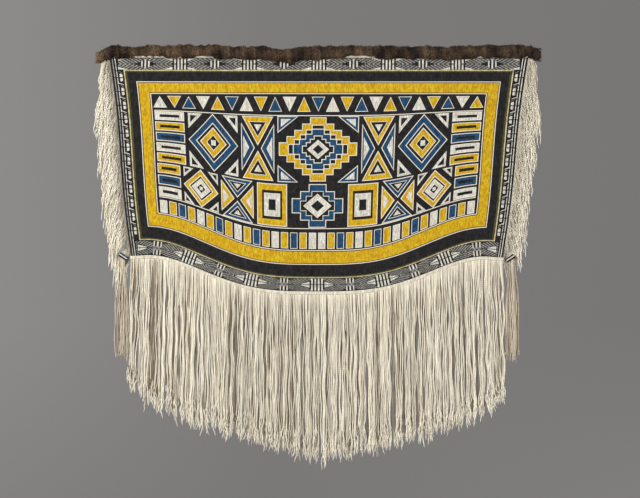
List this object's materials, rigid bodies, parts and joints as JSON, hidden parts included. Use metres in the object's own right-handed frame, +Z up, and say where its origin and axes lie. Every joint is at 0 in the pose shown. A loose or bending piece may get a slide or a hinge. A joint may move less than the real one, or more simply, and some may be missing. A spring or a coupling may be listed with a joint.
{
  "type": "chilkat blanket",
  "caption": "Twined wool dance blanket hung by its top edge: woven panel with a bowed lower edge, fur strip on top, long lower fringe, side fringes and corner tassels.",
  "frame": {"origin": "middle of the woven panel's top edge, half way through its thickness", "axes": "+X to the right along the top edge as seen from the front, +Y towards the back, +Z up; the patterned face looks along -Y"},
  "size_m": [1.6463, 0.0353, 1.5412],
  "materials": {
    "woven_wool": "thick twined wool, matt, fine upright ribs",
    "fur": "dark brown fur with tan patches",
    "yarn": "cream two-ply wool and bark yarn, matt",
    "binding": "striped twined wool, matt"
  },
  "bodies": {
    "root": {"woven_panel": "woven_wool", "fur_strip": "fur", "lower_fringe": "yarn", "side_fringe_left": "yarn", "side_fringe_right": "yarn", "binding_left": "binding", "binding_right": "binding", "tassel_left": "yarn", "tassel_right": "yarn"}
  },
  "joints": []
}
